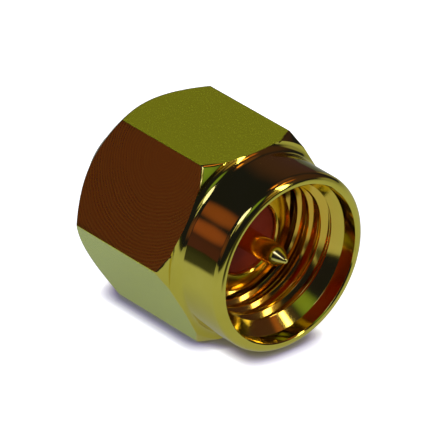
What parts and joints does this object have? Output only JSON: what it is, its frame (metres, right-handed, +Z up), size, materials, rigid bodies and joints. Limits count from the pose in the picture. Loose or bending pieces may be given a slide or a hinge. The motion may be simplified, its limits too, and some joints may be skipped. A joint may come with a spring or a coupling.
{
  "type": "coaxial cable connector",
  "caption": "Coaxial cable plug with a turning hexagonal coupling nut, an inside thread, a tapered centre pin in a dark bead, and an open cable end at the back.",
  "frame": {"origin": "on the plug's axis, in the reference plane, which is the ferrule's front face", "axes": "+X along the axis, out of the nut's mouth; +Z up, square to the hexagon flat that faces up when the plug lies on the opposite flat"},
  "size_m": [0.0099, 0.0092, 0.008],
  "materials": {
    "gold_plate": "bright gold plating over turned brass",
    "spring_bronze": "plain spring bronze",
    "dark_red_dielectric": "smooth dark red plastic"
  },
  "bodies": {
    "nut": {"coupling_nut": "gold_plate"},
    "ring": {"retaining_ring": "spring_bronze"},
    "plug": {"plug_body": "gold_plate", "insulator": "dark_red_dielectric", "centre_contact": "gold_plate"}
  },
  "joints": [
    {"name": "end_play", "type": "slide", "parent": "nut", "child": "ring", "axis": [1, 0, 0], "range_m": [-0.0001, 0.0001]},
    {"name": "body_turn", "type": "hinge", "parent": "ring", "child": "plug", "pos_m": [0, 0, 0], "axis": [1, 0, 0], "continuous": true}
  ]
}
